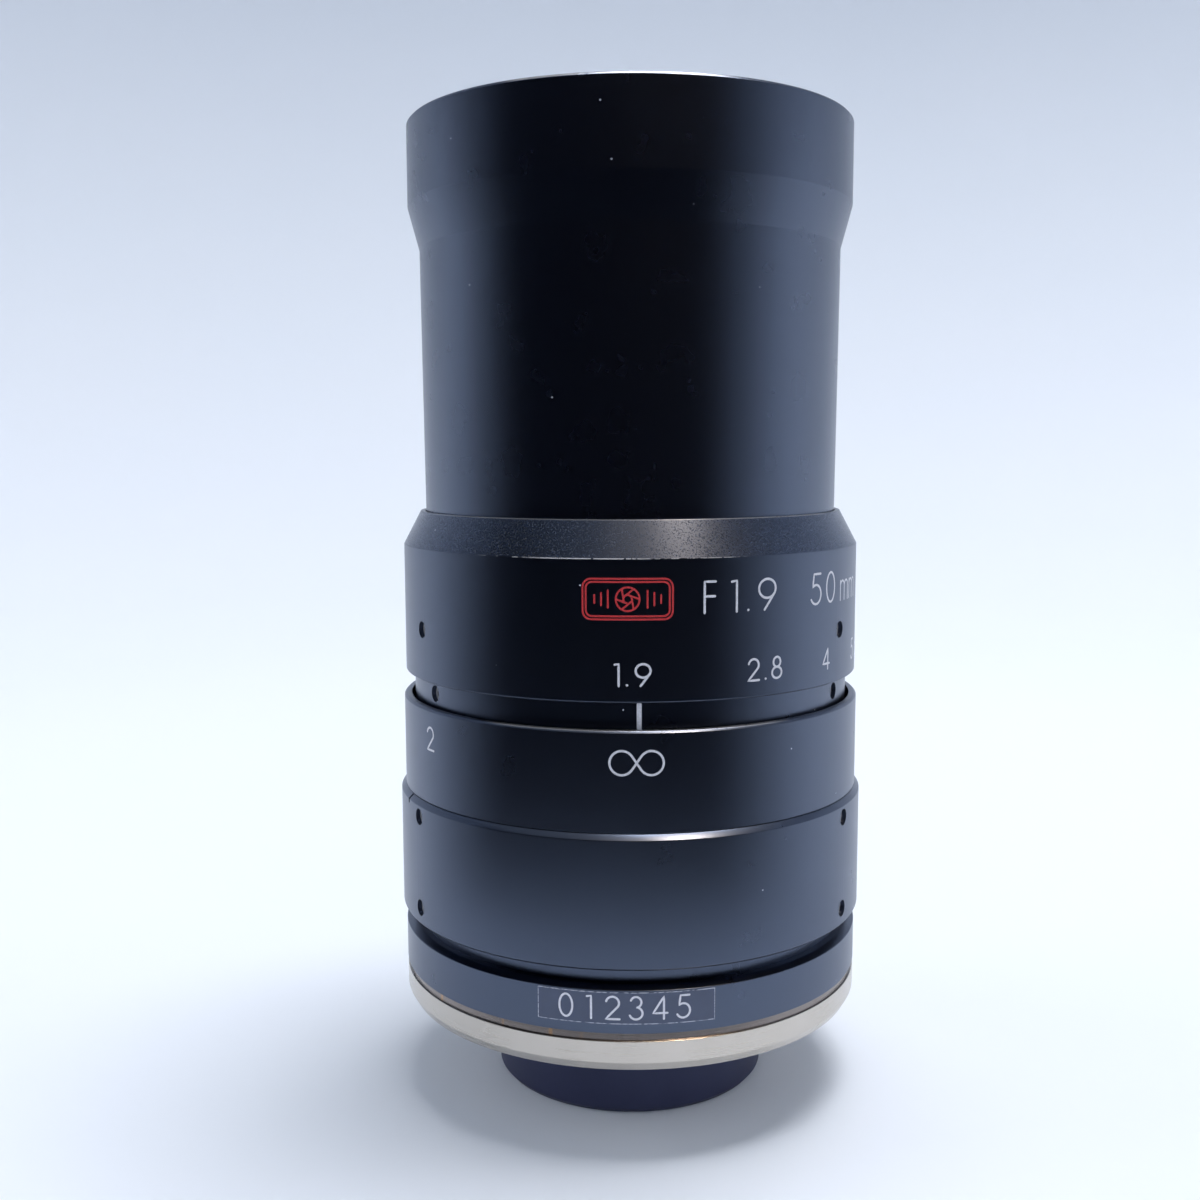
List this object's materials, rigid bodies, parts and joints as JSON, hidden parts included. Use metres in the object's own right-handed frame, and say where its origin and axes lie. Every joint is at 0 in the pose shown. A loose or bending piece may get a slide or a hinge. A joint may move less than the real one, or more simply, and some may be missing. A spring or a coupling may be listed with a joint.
{
  "type": "photographic lens",
  "caption": "Cylindrical camera lens with a front hood tube, aperture ring, focus ring, locking grub screws, nickel screw mount and a rear dust cap it stands on.",
  "frame": {"origin": "centre of the rear cap's resting face, on the optical axis", "axes": "+Z along the optical axis towards the subject; -Y is the side with the index line; +X to its right"},
  "size_m": [0.048, 0.048, 0.0974],
  "materials": {
    "black_anodised": "fine bead-blasted black anodised aluminium",
    "nickel_plate": "satin nickel plate",
    "cap_plastic": "smooth black moulded plastic",
    "blackened_steel": "black oxide steel",
    "brass": "turned brass",
    "blade_steel": "blackened spring steel",
    "coated_glass": "polished optical glass with anti-reflection coating",
    "label_film": "dark label tape"
  },
  "bodies": {
    "barrel": {"mount_flange": "nickel_plate", "flange_screws": "blackened_steel", "lock_ring": "black_anodised", "number_label": "label_film", "guide_barrel": "black_anodised", "baffle_ring": "black_anodised", "barrel_sleeve": "black_anodised", "barrel_lower_screws": "blackened_steel", "barrel_upper_screws": "blackened_steel", "focus_stop_pin": "blackened_steel"},
    "focus_ring": {"focus_ring": "black_anodised", "helicoid_nut": "brass"},
    "lens_unit": {"lens_carrier": "black_anodised", "guide_keys": "brass", "key_screws": "blackened_steel", "index_ring": "black_anodised", "index_screws": "blackened_steel", "iris_housing": "black_anodised", "iris_cover": "black_anodised", "front_tube": "black_anodised", "front_cell": "black_anodised", "front_lens": "coated_glass", "front_spacer": "black_anodised", "second_lens": "coated_glass", "third_lens": "coated_glass", "front_retaining_ring": "black_anodised", "rear_cell": "black_anodised", "fourth_lens": "coated_glass", "fifth_lens": "coated_glass", "rear_spacer": "black_anodised", "sixth_lens": "coated_glass", "rear_retaining_ring": "black_anodised"},
    "aperture_ring": {"aperture_ring": "black_anodised", "aperture_drive_ring": "black_anodised", "aperture_drive_pin": "blackened_steel", "aperture_screws": "blackened_steel", "iris_rotor": "blade_steel"},
    "rear_cap": {"rear_cap": "cap_plastic"},
    "iris_blade_1": {"iris_blade_1": "blade_steel"},
    "iris_blade_2": {"iris_blade_2": "blade_steel"},
    "iris_blade_3": {"iris_blade_3": "blade_steel"},
    "iris_blade_4": {"iris_blade_4": "blade_steel"},
    "iris_blade_5": {"iris_blade_5": "blade_steel"}
  },
  "joints": [
    {"name": "focus_turn", "type": "hinge", "parent": "barrel", "child": "focus_ring", "pos_m": [0, 0, 0.036], "axis": [0, 0, 1], "range_deg": [0, 270]},
    {"name": "lens_slide", "type": "slide", "parent": "barrel", "child": "lens_unit", "axis": [0, 0, 1], "range_m": [0, 0.00637]},
    {"name": "aperture_turn", "type": "hinge", "parent": "lens_unit", "child": "aperture_ring", "pos_m": [0, 0, 0.05], "axis": [0, 0, 1], "range_deg": [-140, 0]},
    {"name": "cap_pull", "type": "slide", "parent": "barrel", "child": "rear_cap", "axis": [0, 0, -1], "range_m": [0, 0.03]},
    {"name": "blade_1_turn", "type": "hinge", "parent": "lens_unit", "child": "iris_blade_1", "pos_m": [0.00602, -0.01654, 0.0455], "axis": [0, 0, 1], "range_deg": [0, 27.62]},
    {"name": "blade_2_turn", "type": "hinge", "parent": "lens_unit", "child": "iris_blade_2", "pos_m": [0.01759, 0.00061, 0.0455], "axis": [0, 0, 1], "range_deg": [0, 27.62]},
    {"name": "blade_3_turn", "type": "hinge", "parent": "lens_unit", "child": "iris_blade_3", "pos_m": [0.00485, 0.01692, 0.0455], "axis": [0, 0, 1], "range_deg": [0, 27.62]},
    {"name": "blade_4_turn", "type": "hinge", "parent": "lens_unit", "child": "iris_blade_4", "pos_m": [-0.01459, 0.00984, 0.0455], "axis": [0, 0, 1], "range_deg": [0, 27.62]},
    {"name": "blade_5_turn", "type": "hinge", "parent": "lens_unit", "child": "iris_blade_5", "pos_m": [-0.01387, -0.01084, 0.0455], "axis": [0, 0, 1], "range_deg": [0, 27.62]}
  ],
  "couplings": [
    {"joint": "focus_turn", "follows": "lens_slide", "rad_per_m": 740.07},
    {"joint": "blade_1_turn", "follows": "aperture_turn", "ratio": -0.19723},
    {"joint": "blade_2_turn", "follows": "aperture_turn", "ratio": -0.19723},
    {"joint": "blade_3_turn", "follows": "aperture_turn", "ratio": -0.19723},
    {"joint": "blade_4_turn", "follows": "aperture_turn", "ratio": -0.19723},
    {"joint": "blade_5_turn", "follows": "aperture_turn", "ratio": -0.19723}
  ]
}
